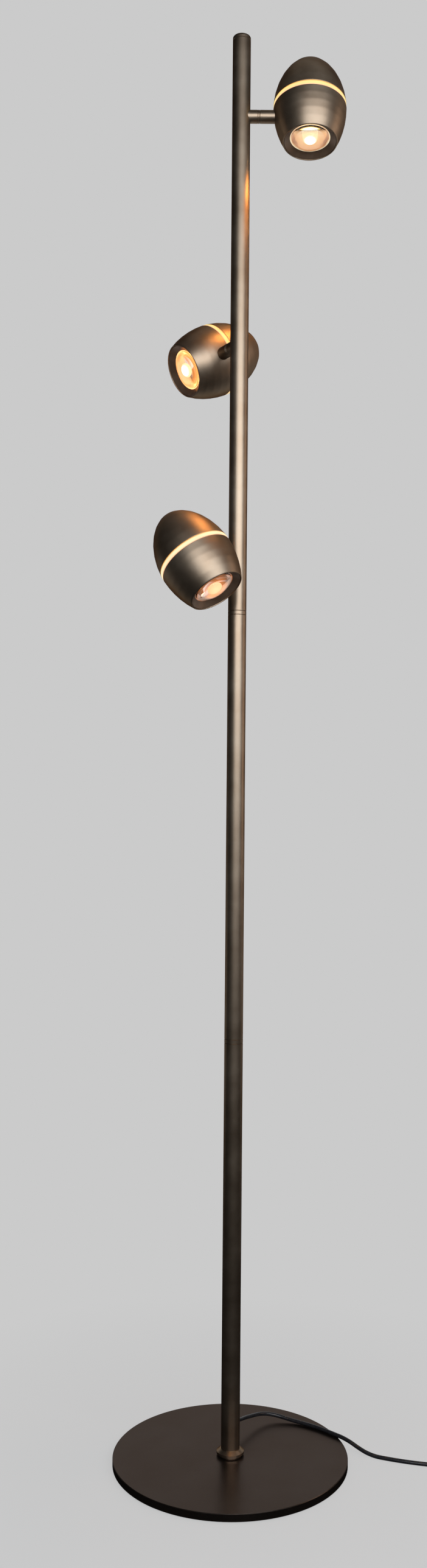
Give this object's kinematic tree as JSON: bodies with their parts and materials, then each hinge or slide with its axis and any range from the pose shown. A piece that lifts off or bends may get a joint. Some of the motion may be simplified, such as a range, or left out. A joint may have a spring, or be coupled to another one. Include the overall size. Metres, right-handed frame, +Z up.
{
  "type": "floor lamp",
  "caption": "Free-standing floor lamp: round flat base, slim pole and egg-shaped spot heads that turn on short arms, each with a domed lens and a glowing ring.",
  "frame": {"origin": "centre of the base's underside, on the floor, on the pole's axis", "axes": "+Z up along the pole; +X along the top arm, to the right as pictured; +Y to the back, where the cord leaves the pole"},
  "size_m": [0.5341, 0.25, 1.55],
  "materials": {
    "bronze_steel": "satin bronze lacquer",
    "dark_bronze_steel": "satin dark bronze lacquer",
    "bronze_aluminium": "satin bronze lacquer",
    "dark_aluminium": "satin dark lacquer",
    "bare_aluminium": "as cast",
    "plated_steel": "zinc plated",
    "nickel": "nickel plated",
    "pad": "matte foam rubber",
    "black_rubber": "matte",
    "cable": "semi-gloss sheath",
    "black_plastic": "satin",
    "tie": "matte",
    "lens_glass": "polished",
    "holder": "gloss",
    "diffuser": "translucent satin",
    "board": "white solder mask"
  },
  "bodies": {
    "stand": {"base_plate": "dark_bronze_steel", "base_pad": "pad", "foot_bolt": "plated_steel", "foot_plug": "plated_steel", "pole_collar": "bronze_steel", "pole_lower": "bronze_steel", "joiner_lower": "bronze_steel", "pole_middle": "bronze_steel", "joiner_upper": "bronze_steel", "pole_upper": "bronze_steel", "top_cap": "bronze_steel", "inner_lead": "cable", "cord_grommet": "black_rubber", "cord": "cable", "switch_body": "black_plastic", "cord_tail": "cable", "cord_coil": "cable", "coil_tie": "tie", "plug": "black_plastic", "plug_pins": "nickel", "arm_stub_top": "bronze_aluminium", "swivel_ring_top": "bronze_aluminium", "swivel_bolt_top": "plated_steel", "arm_stub_middle": "bronze_aluminium", "swivel_ring_middle": "bronze_aluminium", "swivel_bolt_middle": "plated_steel", "arm_stub_bottom": "bronze_aluminium", "swivel_ring_bottom": "bronze_aluminium", "swivel_bolt_bottom": "plated_steel"},
    "head_top": {"swivel_stub_top": "bronze_aluminium", "front_shell_top": "bronze_aluminium", "front_cone_top": "dark_aluminium", "lens_top": "lens_glass", "lens_holder_top": "holder", "led_board_top": "board", "board_screws_top": "plated_steel", "heat_sink_top": "bare_aluminium", "glow_ring_top": "diffuser", "rear_shell_top": "bronze_aluminium"},
    "head_middle": {"swivel_stub_middle": "bronze_aluminium", "front_shell_middle": "bronze_aluminium", "front_cone_middle": "dark_aluminium", "lens_middle": "lens_glass", "lens_holder_middle": "holder", "led_board_middle": "board", "board_screws_middle": "plated_steel", "heat_sink_middle": "bare_aluminium", "glow_ring_middle": "diffuser", "rear_shell_middle": "bronze_aluminium"},
    "head_bottom": {"swivel_stub_bottom": "bronze_aluminium", "front_shell_bottom": "bronze_aluminium", "front_cone_bottom": "dark_aluminium", "lens_bottom": "lens_glass", "lens_holder_bottom": "holder", "led_board_bottom": "board", "board_screws_bottom": "plated_steel", "heat_sink_bottom": "bare_aluminium", "glow_ring_bottom": "diffuser", "rear_shell_bottom": "bronze_aluminium"},
    "foot_button": {"switch_button": "black_plastic"}
  },
  "joints": [
    {"name": "head_top_swivel", "type": "hinge", "parent": "stand", "child": "head_top", "pos_m": [0.0759, 0, 1.46], "axis": [1, 0, 0], "range_deg": [-158, 182]},
    {"name": "head_middle_swivel", "type": "hinge", "parent": "stand", "child": "head_middle", "pos_m": [-0.03795, 0.06573, 1.206], "axis": [-0.5, 0.866, 0], "range_deg": [-234, 106]},
    {"name": "head_bottom_swivel", "type": "hinge", "parent": "stand", "child": "head_bottom", "pos_m": [-0.03795, -0.06573, 0.947], "axis": [-0.5, -0.866, 0], "range_deg": [-206, 134]},
    {"name": "foot_button_press", "type": "slide", "parent": "stand", "child": "foot_button", "axis": [0, 0, -1], "range_m": [0, 0.002], "stiffness_N_per_m": 1500, "springref_m": -0.001}
  ]
}
